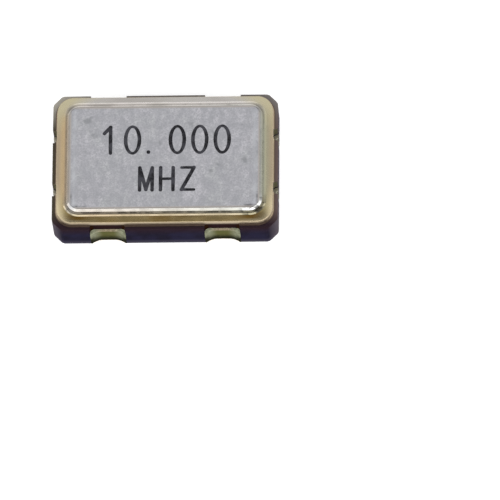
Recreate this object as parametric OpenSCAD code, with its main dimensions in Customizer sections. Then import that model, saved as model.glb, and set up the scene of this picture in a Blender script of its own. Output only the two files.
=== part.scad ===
// Crystal oscillator in a four-terminal ceramic package.
// X runs along the length, Y across the width and Z up, in millimetres.
// The origin is the centre of the underside, level with the solder pads.

/* [Ceramic base] */
// Length of the base
base_l = 5.0; // [4.8:0.05:7]
// Width of the base
base_w = 3.2; // [3.1:0.05:5]
// Cut across each upright corner, along either side
corner_cut = 0.21; // [0.1:0.01:0.3]
// Floor layer thickness
floor_t = 0.25; // [0.15:0.01:0.4]
// Bond ledge layer thickness
ledge_t = 0.22; // [0.2:0.01:0.4]
// Crystal shelf layer thickness
shelf_t = 0.13; // [0.12:0.01:0.3]
// Wall layer thickness
wall_t = 0.20; // [0.2:0.01:0.5]
// Wall left around the cavity
rim_w = 0.5; // [0.4:0.01:0.55]
// Corner radius of the cavity
cavity_r = 0.2; // [0.05:0.01:0.3]
// Length of the shelf that carries the crystal
crystal_shelf_l = 0.55; // [0.52:0.01:0.7]
// Length of the pillow under the free end of the crystal
pillow_l = 0.5; // [0.4:0.01:0.7]
// Width of the ledges that carry the bond fingers
bond_ledge_w = 0.48; // [0.42:0.01:0.5]

/* [Terminals] */
// Thickness of the plating
plating_t = 0.02; // [0.01:0.005:0.04]
// Spacing of the pads along the length
pad_pitch = 2.54; // [2:0.01:3.4]
// Length of each pad
pad_l = 1.22; // [1:0.01:1.5]
// Width of each pad
pad_w = 0.96; // [0.7:0.01:1.2]
// Bare ceramic between a pad and the long side
pad_margin = 0.04; // [0:0.01:0.1]
// Corner cut that marks the first pad
pad_key = 0.33; // [0.1:0.01:0.5]
// Straight part of a pad castellation
slot_flat = 0.24; // [0.1:0.01:0.4]
// End radius of a pad castellation
slot_r = 0.40; // [0.2:0.01:0.5]
// Depth of a pad castellation
slot_depth = 0.11; // [0.06:0.005:0.14]
// Length of the recess in the upper layers above a pad castellation
recess_l = 0.79; // [0.7:0.01:1]
// Corner radius of the recess
recess_r = 0.10; // [0.02:0.01:0.12]
// Depth of the recess beyond the castellation below it
slot_step = 0.035; // [0.005:0.005:0.04]
// Spacing of the test castellations across the width
test_pitch = 1.27; // [1:0.01:1.5]
// Radius of a test castellation
test_r = 0.07; // [0.06:0.01:0.09]
// Radius of its plated land
test_land_r = 0.13; // [0.1:0.01:0.13]
// Radius of the recess in the upper layers above a test castellation
test_recess_r = 0.15; // [0.14:0.01:0.18]

/* [Seal ring] */
// Bare ceramic outside the ring
ring_margin = 0.1; // [0.06:0.01:0.2]
// Width of the ring, seen from above
ring_wall = 0.35; // [0.3:0.01:0.37]
// Height of the ring
ring_h = 0.18; // [0.1:0.01:0.3]
// Outer corner radius of the ring
ring_r = 0.36; // [0.3:0.01:0.5]
// Corner radius of the ring's opening
ring_hole_r = 0.2; // [0.05:0.01:0.3]
// Rounding along the ring's top edge
ring_edge_r = 0.04; // [0.01:0.005:0.08]
// Thickness of the braze under the ring
braze_t = 0.02; // [0.01:0.005:0.04]
// Reach of the braze fillet at the foot of the ring
braze_fillet = 0.035; // [0.01:0.005:0.05]

/* [Lid] */
// Top of the ring left bare around the lid
lid_margin = 0.23; // [0.1:0.01:0.26]
// Thickness of the lid
lid_t = 0.10; // [0.06:0.01:0.2]
// Corner radius of the lid
lid_r = 0.28; // [0.2:0.01:0.4]
// Width of the slope that the welding rollers leave
weld_slope_w = 0.06; // [0.03:0.01:0.15]
// Drop of that slope
weld_slope_h = 0.05; // [0.02:0.005:0.08]

/* [Crystal] */
// Frequency of the crystal, which sets its thickness
frequency_mhz = 10; // [9:1:40]
// Length of the quartz blank
blank_l = 3.4; // [3:0.05:3.6]
// Width of the quartz blank
blank_w = 1.7; // [1.5:0.05:1.9]
// Gap between the held end of the blank and the cavity wall
blank_gap = 0.15; // [0.1:0.01:0.2]
// Length of the electrodes
electrode_l = 1.7; // [1:0.05:2]
// Width of the electrodes
electrode_w = 1.1; // [0.9:0.05:1.4]
// Thickness of the electrode film
electrode_t = 0.004; // [0.002:0.001:0.01]
// Width of the strip to each electrode
lead_w = 0.36; // [0.3:0.01:0.45]
// Distance of the strips from the centre line
lead_y = 0.5; // [0.4:0.01:0.55]
// Length of each strip's end under the blank
lead_end_l = 0.35; // [0.32:0.01:0.4]
// Thickness of the conductive adhesive
adhesive_t = 0.03; // [0.02:0.005:0.06]
// Radius of an adhesive dot where it meets the shelf
adhesive_r = 0.16; // [0.1:0.01:0.16]
// Length of a crystal land
crystal_land_l = 0.4; // [0.34:0.01:0.42]
// Width of a crystal land
crystal_land_w = 0.5; // [0.36:0.01:0.6]

/* [Chip] */
// Length of the chip
chip_l = 1.0; // [0.8:0.05:1.2]
// Width of the chip
chip_w = 0.8; // [0.6:0.05:0.9]
// Thickness of the chip
chip_t = 0.15; // [0.1:0.01:0.17]
// Thickness of the chip adhesive
attach_t = 0.015; // [0.01:0.005:0.03]
// Bare rim of the pit's floor around the plated land
land_rim = 0.04; // [0.02:0.01:0.1]
// Gap between the chip and the ends of its pit
pit_gap = 0.25; // [0.12:0.01:0.3]
// Side of a bond pad on the chip
chip_pad = 0.09; // [0.08:0.005:0.12]
// Spacing of the bond pads on the chip
chip_pad_pitch = 0.34; // [0.2:0.01:0.34]
// Distance of the bond pads from the edge of the chip
chip_pad_inset = 0.08; // [0.07:0.005:0.12]
// Spacing of the bond fingers
finger_pitch = 0.45; // [0.3:0.01:0.5]
// Length of a bond finger
finger_l = 0.3; // [0.2:0.01:0.32]
// Width of a bond finger
finger_w = 0.18; // [0.1:0.01:0.24]
// Thickness of the inner plating
inner_plating_t = 0.01; // [0.005:0.005:0.02]
// Diameter of a bond wire
wire_d = 0.025; // [0.02:0.001:0.035]
// Rise of the wire loop above a straight line
wire_loop = 0.06; // [0.04:0.005:0.06]
// Radius of the ball that starts each wire
ball_r = 0.035; // [0.03:0.001:0.04]
// Height of that ball
ball_h = 0.018; // [0.01:0.001:0.02]

/* [Hidden] */
$fn = 48;
wire_sides = 8;
wire_steps = 12;
past = 1; // how far a cutting shape runs past what it cuts
frequency_constant = 1.66; // thickness of an AT-cut blank that vibrates at 1 MHz

base_z = plating_t;
floor_z = base_z + floor_t;
ledge_z = floor_z + ledge_t;
shelf_z = ledge_z + shelf_t;
base_top = shelf_z + wall_t;
ring_z = base_top + braze_t;
ring_top = ring_z + ring_h;

cavity_l = base_l - 2 * rim_w;
cavity_w = base_w - 2 * rim_w;
shelf_hole_l = cavity_l - crystal_shelf_l - pillow_l;
shelf_hole_x = (crystal_shelf_l - pillow_l) / 2;
pit_l = chip_l + 2 * pit_gap;
pit_w = cavity_w - 2 * bond_ledge_w;
ring_l = base_l - 2 * ring_margin;
ring_w = base_w - 2 * ring_margin;
ring_hole_l = ring_l - 2 * ring_wall;
ring_hole_w = ring_w - 2 * ring_wall;
lid_l = ring_l - 2 * lid_margin;
lid_w = ring_w - 2 * lid_margin;

pad_y = base_w / 2 - pad_margin - pad_w / 2;
slot_y = base_w / 2 + slot_r - slot_depth;

blank_t = frequency_constant / frequency_mhz;
blank_x = -cavity_l / 2 + blank_gap;
crystal_land_top = shelf_z + inner_plating_t;
blank_z = crystal_land_top + adhesive_t + electrode_t;
lead_end_x = blank_x + lead_end_l / 2;
electrode_x = blank_x + blank_l / 2;

die_land_top = floor_z + inner_plating_t;
chip_z = die_land_top + attach_t;
chip_top = chip_z + chip_t;
chip_pad_y = chip_w / 2 - chip_pad_inset;
chip_pad_top = chip_top + electrode_t;
finger_y = pit_w / 2 + (bond_ledge_w - finger_l) / 4 + finger_l / 2;
finger_top = ledge_z + inner_plating_t;
stitch_l = finger_l / 4;

// The four quarters, anticlockwise from the keyed one, as signs of X and Y
quarters = [[-1, -1], [1, -1], [1, 1], [-1, 1]];
// The six bonds, as a place along the chip and a side of it
bonds = [for (side = [-1, 1]) for (place = [-1 : 1]) [place, side]];

// ---- shared shapes ----

// A rectangle about the origin with round corners
module round_rect(l, w, r) {
    square([l - 2 * r, w], center = true);
    square([l, w - 2 * r], center = true);
    for (x = [-1, 1], y = [-1, 1])
        translate([x * (l / 2 - r), y * (w / 2 - r)]) circle(r);
}

// A plate with round corners whose upper edge slopes in by slope_w over the last slope_h of its height
module sloped_plate(l, w, t, r, slope_w, slope_h) {
    for (turn = [0, 90]) {
        long = turn == 0 ? l - 2 * r : w - 2 * r;
        half = turn == 0 ? w / 2 : l / 2;
        rotate(turn) rotate([90, 0, 90])
            linear_extrude(long, center = true)
                polygon([[-half, 0], [half, 0], [half, t - slope_h], [half - slope_w, t],
                         [slope_w - half, t], [-half, t - slope_h]]);
    }
    for (x = [-1, 1], y = [-1, 1])
        translate([x * (l / 2 - r), y * (w / 2 - r), 0]) {
            cylinder(h = t - slope_h, r = r);
            translate([0, 0, t - slope_h]) cylinder(h = slope_h, r1 = r, r2 = r - slope_w);
        }
}

// Half of an upright section that is half wide and t high, with its upper outer corner rounded
module rounded_section(half, t, edge_r) {
    square([half, t - edge_r]);
    square([half - edge_r, t]);
    translate([half - edge_r, t - edge_r]) circle(edge_r);
}

// A plate with round corners whose upper edge is rounded
module rounded_plate(l, w, t, r, edge_r) {
    for (turn = [0, 90]) {
        long = turn == 0 ? l - 2 * r : w - 2 * r;
        half = turn == 0 ? w / 2 : l / 2;
        rotate(turn) rotate([90, 0, 90])
            linear_extrude(long, center = true)
                for (side = [0, 1]) mirror([side, 0]) rounded_section(half, t, edge_r);
    }
    for (x = [-1, 1], y = [-1, 1])
        translate([x * (l / 2 - r), y * (w / 2 - r), 0])
            rotate_extrude() rounded_section(r, t, edge_r);
}

// The outline of one pad castellation, centred outside the long side, grown by grow
module pad_slot(grow = 0) {
    square([slot_flat, 2 * (slot_r + grow)], center = true);
    for (x = [-1, 1]) translate([x * slot_flat / 2, 0]) circle(slot_r + grow);
}

// Places its children at the pad castellation of quarter q
module at_pad_slot(q) {
    translate([q[0] * pad_pitch / 2, q[1] * slot_y]) children();
}

// Places its children at the test castellation of quarter q
module at_test_slot(q) {
    translate([q[0] * base_l / 2, q[1] * test_pitch / 2]) children();
}

// The outline of the base before its castellations
module base_outline() {
    x = base_l / 2;
    y = base_w / 2;
    c = corner_cut;
    polygon([[x, y - c], [x - c, y], [c - x, y], [-x, y - c],
             [-x, c - y], [c - x, -y], [x - c, -y], [x, c - y]]);
}

// The recess above the pad castellation of quarter q
module pad_recess(q) {
    translate([q[0] * pad_pitch / 2, q[1] * base_w / 2])
        round_rect(recess_l, 2 * (slot_depth + slot_step), recess_r);
}

// The wider slots that run through the upper layers of the base
module upper_slots() {
    for (q = quarters) {
        pad_recess(q);
        at_test_slot(q) circle(test_recess_r);
    }
}

// ---- package ----

module ceramic_base() {
    color([0.15, 0.13, 0.22])
    difference() {
        union() {
            translate([0, 0, base_z]) linear_extrude(floor_t + ledge_t) difference() {
                base_outline();
                for (q = quarters) {
                    at_pad_slot(q) pad_slot();
                    at_test_slot(q) circle(test_r);
                }
            }
            translate([0, 0, ledge_z]) linear_extrude(shelf_t + wall_t) difference() {
                base_outline();
                upper_slots();
            }
        }
        translate([0, 0, shelf_z]) linear_extrude(wall_t + past)
            round_rect(cavity_l, cavity_w, cavity_r);
        translate([shelf_hole_x, 0, ledge_z]) linear_extrude(shelf_t + past)
            round_rect(shelf_hole_l, cavity_w, cavity_r);
        translate([0, 0, floor_z]) linear_extrude(ledge_t + past)
            square([pit_l, pit_w], center = true);
    }
}

// The braze lies under the ring and climbs its outer foot
module braze_joint() {
    color([0.80, 0.74, 0.62])
    difference() {
        translate([0, 0, base_top])
            sloped_plate(ring_l + 2 * braze_fillet, ring_w + 2 * braze_fillet, braze_t + braze_fillet,
                         ring_r + braze_fillet, braze_fillet, braze_fillet);
        translate([0, 0, ring_z]) linear_extrude(past) round_rect(ring_l, ring_w, ring_r);
        translate([0, 0, base_top - past]) linear_extrude(2 * past) {
            round_rect(ring_hole_l, ring_hole_w, ring_hole_r);
            upper_slots();
        }
    }
}

module seal_ring() {
    color([0.72, 0.63, 0.42])
    translate([0, 0, ring_z]) difference() {
        rounded_plate(ring_l, ring_w, ring_h, ring_r, ring_edge_r);
        translate([0, 0, -past]) linear_extrude(ring_h + 2 * past)
            round_rect(ring_hole_l, ring_hole_w, ring_hole_r);
    }
}

module lid() {
    color([0.68, 0.68, 0.69])
    translate([0, 0, ring_top]) sloped_plate(lid_l, lid_w, lid_t, lid_r, weld_slope_w, weld_slope_h);
}

// A pad on the underside, the plating up its castellation and the land on top of it
module terminal(i) {
    q = quarters[i];
    color([0.84, 0.70, 0.43]) {
        linear_extrude(plating_t) difference() {
            translate([q[0] * pad_pitch / 2, q[1] * pad_y]) difference() {
                square([pad_l, pad_w], center = true);
                if (i == 0)
                    translate([pad_l / 2, pad_w / 2]) rotate(45)
                        square(pad_key * sqrt(2), center = true);
            }
            at_pad_slot(q) pad_slot(-plating_t);
        }
        linear_extrude(base_z + floor_t + ledge_t) around_pad_slot(q) at_pad_slot(q) pad_slot();
        translate([0, 0, ledge_z]) linear_extrude(inner_plating_t) around_pad_slot(q) pad_recess(q);
    }
}

// What of its children lies on the base, round the open part of the pad castellation of quarter q
module around_pad_slot(q) {
    difference() {
        intersection() {
            base_outline();
            children();
        }
        at_pad_slot(q) pad_slot(-plating_t);
    }
}

// A small plated half hole in a short side, with a land at each end
module test_terminal(i) {
    q = quarters[i];
    color([0.62, 0.60, 0.58]) {
        linear_extrude(plating_t) plated_half_hole(q, test_land_r);
        linear_extrude(base_z + floor_t + ledge_t) plated_half_hole(q, test_r);
        translate([0, 0, ledge_z]) linear_extrude(inner_plating_t) plated_half_hole(q, test_land_r);
    }
}

module plated_half_hole(q, outer_r) {
    intersection() {
        base_outline();
        at_test_slot(q) difference() {
            circle(outer_r);
            circle(test_r - plating_t);
        }
    }
}

// ---- chip ----

module die_land() {
    color([0.84, 0.70, 0.43])
    translate([0, 0, floor_z]) linear_extrude(inner_plating_t)
        square([pit_l - 2 * land_rim, pit_w - 2 * land_rim], center = true);
}

module die_attach() {
    color([0.75, 0.75, 0.72])
    translate([0, 0, die_land_top]) linear_extrude(attach_t) square([chip_l, chip_w], center = true);
}

module oscillator_chip() {
    color([0.33, 0.35, 0.40])
    translate([0, 0, chip_z]) linear_extrude(chip_t) square([chip_l, chip_w], center = true);
}

module chip_pads() {
    color([0.85, 0.85, 0.86])
    for (b = bonds)
        translate([b[0] * chip_pad_pitch, b[1] * chip_pad_y, chip_top])
            linear_extrude(electrode_t) square(chip_pad, center = true);
}

module bond_finger(i) {
    b = bonds[i];
    color([0.84, 0.70, 0.43])
    translate([b[0] * finger_pitch, b[1] * finger_y, ledge_z])
        linear_extrude(inner_plating_t) square([finger_w, finger_l], center = true);
}

// A ball on the chip pad, a loop to the finger and a stitch that lies on it
module bond_wire(i) {
    b = bonds[i];
    sag = wire_d / 2 * cos(180 / wire_sides);
    from = [b[0] * chip_pad_pitch, b[1] * chip_pad_y, chip_pad_top];
    to = [b[0] * finger_pitch, b[1] * finger_y - b[1] * stitch_l, finger_top + sag];
    run = norm([to[0] - from[0], to[1] - from[1]]);
    along = [to[0] - from[0], to[1] - from[1], 0] / run;
    across = [-along[1], along[0], 0];
    lift = ball_h + wire_d / 2;
    rise = to[2] - from[2] - lift;
    // each ring: distance along the run, height above the pad, slope of the wire there and its radius
    rings = concat(
        [[0, 0, 90, ball_r], [0, ball_h, 90, ball_r], [0, lift, 90, wire_d / 2]],
        [for (k = [1 : wire_steps - 1])
            let (t = k / wire_steps,
                 slope = atan2(rise + 180 * wire_loop * cos(180 * t) * PI / 180, 2 * t * run))
            [run * t * t, lift + rise * t + wire_loop * sin(180 * t), slope, wire_d / 2]],
        [[run, to[2] - from[2], 0, wire_d / 2],
         [run + stitch_l, to[2] - from[2], 0, wire_d / 2]]
    );
    points = [for (ring = rings)
        for (k = [0 : wire_sides - 1])
            let (turn = 360 * (k + 0.5) / wire_sides,
                 normal = along * -sin(ring[2]) + [0, 0, cos(ring[2])])
            from + along * ring[0] + [0, 0, ring[1]]
                 + ring[3] * (across * cos(turn) + normal * sin(turn))];
    last = (len(rings) - 1) * wire_sides;
    faces = concat(
        [[for (k = [0 : wire_sides - 1]) k]],
        [for (j = [0 : len(rings) - 2]) for (k = [0 : wire_sides - 1])
            let (a = j * wire_sides + k, b = j * wire_sides + (k + 1) % wire_sides)
            [a, a + wire_sides, b + wire_sides, b]],
        [[for (k = [wire_sides - 1 : -1 : 0]) last + k]]
    );
    color([0.90, 0.74, 0.35]) polyhedron(points, faces);
}

// ---- crystal ----

module crystal_land(i) {
    color([0.84, 0.70, 0.43])
    translate([lead_end_x, [-1, 1][i] * lead_y, shelf_z]) linear_extrude(inner_plating_t)
        square([crystal_land_l, crystal_land_w], center = true);
}

module adhesive_dot(i) {
    color([0.70, 0.70, 0.70])
    translate([lead_end_x, [-1, 1][i] * lead_y, crystal_land_top])
        cylinder(h = adhesive_t, r1 = adhesive_r, r2 = adhesive_r - adhesive_t);
}

module quartz_blank() {
    color([0.88, 0.92, 0.95, 0.6])
    translate([blank_x, -blank_w / 2, blank_z]) cube([blank_l, blank_w, blank_t]);
}

module electrode_film() {
    linear_extrude(electrode_t)
        translate([electrode_x, 0]) square([electrode_l, electrode_w], center = true);
}

// The strip of the top electrode wraps round the held end and stops under the blank
module electrode_top() {
    blank_top = blank_z + blank_t;
    film_top = blank_top + electrode_t;
    wrap_x = blank_x - electrode_t;
    end_x = blank_x + lead_end_l;
    end_z = blank_z - electrode_t;
    color([0.80, 0.81, 0.83]) {
        translate([0, 0, blank_top]) electrode_film();
        translate([0, lead_y + lead_w / 2, 0]) rotate([90, 0, 0])
            linear_extrude(lead_w)
                polygon([[wrap_x, end_z], [end_x, end_z], [end_x, blank_z], [blank_x, blank_z],
                         [blank_x, blank_top], [electrode_x, blank_top],
                         [electrode_x, film_top], [wrap_x, film_top]]);
    }
}

module electrode_bottom() {
    color([0.80, 0.81, 0.83])
    translate([0, 0, blank_z - electrode_t]) {
        electrode_film();
        linear_extrude(electrode_t)
            translate([blank_x, -lead_y - lead_w / 2]) square([electrode_x - blank_x, lead_w]);
    }
}

ceramic_base();
braze_joint();
seal_ring();
lid();
for (i = [0 : 3]) {
    terminal(i);
    test_terminal(i);
}
die_land();
die_attach();
oscillator_chip();
chip_pads();
for (i = [0 : 5]) {
    bond_finger(i);
    bond_wire(i);
}
for (i = [0 : 1]) {
    crystal_land(i);
    adhesive_dot(i);
}
quartz_blank();
electrode_top();
electrode_bottom();
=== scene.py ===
import math
import bpy
from mathutils import Matrix, Vector


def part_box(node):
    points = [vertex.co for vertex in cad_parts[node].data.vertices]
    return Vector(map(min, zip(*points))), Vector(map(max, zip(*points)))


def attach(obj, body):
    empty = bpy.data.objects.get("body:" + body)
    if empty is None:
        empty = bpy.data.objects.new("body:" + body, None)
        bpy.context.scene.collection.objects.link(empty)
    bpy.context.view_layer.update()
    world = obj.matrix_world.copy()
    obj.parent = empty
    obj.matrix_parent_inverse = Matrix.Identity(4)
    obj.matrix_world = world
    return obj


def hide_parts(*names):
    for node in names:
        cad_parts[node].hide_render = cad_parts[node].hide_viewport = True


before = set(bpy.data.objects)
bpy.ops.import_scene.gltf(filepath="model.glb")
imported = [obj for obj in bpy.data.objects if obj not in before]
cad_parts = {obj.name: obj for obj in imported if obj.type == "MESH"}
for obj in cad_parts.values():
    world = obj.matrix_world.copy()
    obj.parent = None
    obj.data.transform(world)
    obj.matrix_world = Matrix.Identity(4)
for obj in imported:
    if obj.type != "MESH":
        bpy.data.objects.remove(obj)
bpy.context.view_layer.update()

millimetre = 0.001  # pieces are modelled in millimetres and scaled down when they are finished
hair = 0.0005  # points closer than this count as level
under, over, clear = -1, 2, 4  # cutting shapes start under the part, end over it and reach clear of it


# Lowest and highest corner of a node of the model, in millimetres
def boxOf(node):
    low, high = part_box(node)
    return Vector(low) / millimetre, Vector(high) / millimetre


# Modelling help

def freshStart():
    active = bpy.context.view_layer.objects.active
    if active and active.mode != "OBJECT":
        bpy.ops.object.mode_set(mode="OBJECT")
    bpy.ops.object.select_all(action="DESELECT")


def pickOnly(piece):
    freshStart()
    piece.select_set(True)
    bpy.context.view_layer.objects.active = piece


# Makes the object's place, turn and size part of its mesh
def settle():
    bpy.ops.object.transform_apply(location=True, rotation=True, scale=True)


# Selects in edit mode the points, edges or faces that pass the test, and stays there
def pick(piece, kind, test):
    pickOnly(piece)
    bpy.ops.object.mode_set(mode="EDIT")
    bpy.ops.mesh.select_mode(type=kind)
    bpy.ops.mesh.select_all(action="DESELECT")
    bpy.ops.object.mode_set(mode="OBJECT")
    mesh = piece.data
    if kind == "VERT":
        for point in mesh.vertices:
            point.select = test(point.co)
    elif kind == "EDGE":
        for edge in mesh.edges:
            start, end = (mesh.vertices[i].co for i in edge.vertices)
            edge.select = test(start, end)
    else:
        for face in mesh.polygons:
            face.select = test(face.center, face.normal)
    bpy.ops.object.mode_set(mode="EDIT")


def addBlock(name, low, high):
    freshStart()
    low, high = Vector(low), Vector(high)
    bpy.ops.mesh.primitive_cube_add(size=1, location=(low + high) / 2, scale=high - low)
    block = bpy.context.object
    block.name = name
    settle()
    return block


def bevelEdges(piece, test, offset, segments, profile=0.5):
    pick(piece, "EDGE", test)
    bpy.ops.mesh.bevel(offset=offset, segments=segments, profile=profile, affect="EDGES")
    bpy.ops.object.mode_set(mode="OBJECT")


def isUpright(start, end):
    return abs(start.z - end.z) > 2 * hair and (start.xy - end.xy).length < hair / 5


# Tests for level edges at a height, edges from a height up, and faces that look up
def liesAt(height):
    return lambda start, end: abs(start.z - height) < hair and abs(end.z - height) < hair


def liesOver(height):
    return lambda start, end: min(start.z, end.z) > height - hair


def looksUp(centre, normal):
    return normal.z > 0.9


# Narrows the top of a plate and lifts it, so that the plate's edge slopes
def slopeTop(plate, narrowing, lift):
    pick(plate, "FACE", looksUp)
    bpy.ops.mesh.inset(thickness=narrowing)
    bpy.ops.transform.translate(value=(0, 0, lift))
    bpy.ops.object.mode_set(mode="OBJECT")


# An upright plate with round corners, centred on the part
def addPlate(name, length, width, bottom, top, radius, segments=12):
    plate = addBlock(name, (-length / 2, -width / 2, bottom), (length / 2, width / 2, top))
    bevelEdges(plate, isUpright, radius, segments)
    return plate


# An upright slot with round ends: a cylinder whose two halves are moved apart
def addSlot(name, place, flat, radius, bottom, top, sides=48):
    freshStart()
    bpy.ops.mesh.primitive_cylinder_add(vertices=sides, radius=radius, depth=top - bottom,
                                        location=(0, 0, (top + bottom) / 2))
    slot = bpy.context.object
    slot.name = name
    settle()
    for side in (-1, 1):
        pick(slot, "VERT", lambda point: point.x * side > hair / 5)
        bpy.ops.transform.translate(value=(side * flat / 2, 0, 0))
        bpy.ops.object.mode_set(mode="OBJECT")
    slot.location = (place[0], place[1], 0)
    settle()
    return slot


def copyPiece(piece, name, shift=(0, 0, 0), turn=0):
    pickOnly(piece)
    bpy.ops.object.duplicate(linked=False)
    twin = bpy.context.object
    twin.name = name
    twin.rotation_euler.z = math.radians(turn)
    twin.location = shift
    settle()
    return twin


def joinPieces(pieces):
    pickOnly(pieces[0])
    for piece in pieces:
        piece.select_set(True)
    bpy.ops.object.join()
    return bpy.context.object


# Cuts the tool away from the piece, adds it or keeps what they share, and throws the tool away
def combine(piece, tool, operation="DIFFERENCE"):
    pickOnly(piece)
    change = piece.modifiers.new("combine", "BOOLEAN")
    change.object = tool
    change.operation = operation
    change.solver = "EXACT"
    bpy.ops.object.modifier_apply(modifier=change.name)
    bpy.data.objects.remove(tool, do_unlink=True)


# Breaks every sharp edge of the piece a little
def breakEdges(piece, width, segments=2, angle=35):
    pickOnly(piece)
    soften = piece.modifiers.new("breakEdges", "BEVEL")
    soften.width = width
    soften.segments = segments
    soften.limit_method = "ANGLE"
    soften.angle_limit = math.radians(angle)
    bpy.ops.object.modifier_apply(modifier=soften.name)


# Shades the piece, brings it to its real size and ties it to the part
def finishPiece(piece, nodes=(), angle=35):
    pickOnly(piece)
    bpy.ops.object.shade_smooth_by_angle(angle=math.radians(angle))
    even = piece.modifiers.new("even", "WEIGHTED_NORMAL")
    even.keep_sharp = True
    bpy.ops.object.modifier_apply(modifier=even.name)
    piece.scale = (millimetre, millimetre, millimetre)
    settle()
    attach(piece, "root")
    if nodes:
        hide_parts(*nodes)
    print("made", piece.name, len(piece.data.polygons), "faces")


# Material help

# A screen colour, from 0 to 255, as the light that it stands for
def paint(red, green, blue):
    tones = [value / 255 for value in (red, green, blue)]
    return (*[tone / 12.92 if tone < 0.0405 else ((tone + 0.055) / 1.055) ** 2.4 for tone in tones], 1)


# A shared pattern with nothing between its inputs and its outputs yet
def startGroup(name, inputs, outputs):
    group = bpy.data.node_groups.new(name, "ShaderNodeTree")
    for way, sockets in (("INPUT", inputs), ("OUTPUT", outputs)):
        for socket, kind in sockets.items():
            group.interface.new_socket(name=socket, in_out=way, socket_type=f"NodeSocket{kind}")
    return group, group.nodes.new("NodeGroupInput"), group.nodes.new("NodeGroupOutput")


# Fine relief of a plated or fired surface, as a tone from 0 to 1 and a normal
def makeGrainGroup():
    group, inside, outside = startGroup("fineGrain", {"Place": "Vector", "Size": "Float", "Depth": "Float"},
                                        {"Tone": "Float", "Normal": "Vector"})
    nodes, links = group.nodes, group.links
    noise = nodes.new("ShaderNodeTexNoise")
    noise.inputs["Detail"].default_value = 4
    noise.inputs["Roughness"].default_value = 0.6
    bump = nodes.new("ShaderNodeBump")
    bump.inputs["Distance"].default_value = millimetre
    links.new(inside.outputs["Place"], noise.inputs["Vector"])
    links.new(inside.outputs["Size"], noise.inputs["Scale"])
    links.new(inside.outputs["Depth"], bump.inputs["Strength"])
    links.new(noise.outputs["Fac"], bump.inputs["Height"])
    links.new(noise.outputs["Fac"], outside.inputs["Tone"])
    links.new(bump.outputs["Normal"], outside.inputs["Normal"])
    return group


# Slow patches over a surface, as a mask from 0 to 1
def makePatchGroup():
    inputs = {"Place": "Vector", "Size": "Float", "Low": "Float", "High": "Float"}
    group, inside, outside = startGroup("slowPatches", inputs, {"Mask": "Float"})
    nodes, links = group.nodes, group.links
    noise = nodes.new("ShaderNodeTexNoise")
    noise.inputs["Detail"].default_value = 2
    spread = nodes.new("ShaderNodeMapRange")
    spread.interpolation_type = "SMOOTHSTEP"
    links.new(inside.outputs["Place"], noise.inputs["Vector"])
    links.new(inside.outputs["Size"], noise.inputs["Scale"])
    links.new(noise.outputs["Fac"], spread.inputs["Value"])
    links.new(inside.outputs["Low"], spread.inputs["From Min"])
    links.new(inside.outputs["High"], spread.inputs["From Max"])
    links.new(spread.outputs["Result"], outside.inputs["Mask"])
    return group


# Distance of a point outside a round-cornered outline, below zero inside it
def makeRimGroup():
    inputs = {"Place": "Vector", "Middle": "Vector", "Corner": "Float"}
    group, inside, outside = startGroup("rimDistance", inputs, {"Distance": "Float"})
    nodes, links = group.nodes, group.links
    flatten = nodes.new("ShaderNodeVectorMath")
    flatten.operation = "MULTIPLY"
    flatten.inputs[1].default_value = (1, 1, 0)
    links.new(inside.outputs["Place"], flatten.inputs[0])
    last = flatten.outputs["Vector"]
    steps = []
    for operation, other in (("ABSOLUTE", None), ("SUBTRACT", inside.outputs["Middle"]), ("MAXIMUM", None)):
        step = nodes.new("ShaderNodeVectorMath")
        step.operation = operation
        links.new(last, step.inputs[0])
        if other:
            links.new(other, step.inputs[1])
        last = step.outputs["Vector"]
        steps.append(step)
    outer = nodes.new("ShaderNodeVectorMath")
    outer.operation = "LENGTH"
    links.new(last, outer.inputs[0])
    axes = nodes.new("ShaderNodeSeparateXYZ")
    links.new(steps[1].outputs["Vector"], axes.inputs["Vector"])
    last = axes.outputs["X"]
    for operation, other in (("MAXIMUM", axes.outputs["Y"]), ("MINIMUM", None),
                             ("ADD", outer.outputs["Value"]), ("SUBTRACT", inside.outputs["Corner"])):
        step = nodes.new("ShaderNodeMath")
        step.operation = operation
        step.inputs[1].default_value = 0
        links.new(last, step.inputs[0])
        if other:
            links.new(other, step.inputs[1])
        last = step.outputs["Value"]
    links.new(last, outside.inputs["Distance"])
    return group


grainGroup = makeGrainGroup()
patchGroup = makePatchGroup()
rimGroup = makeRimGroup()
print("made the shared patterns")


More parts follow.
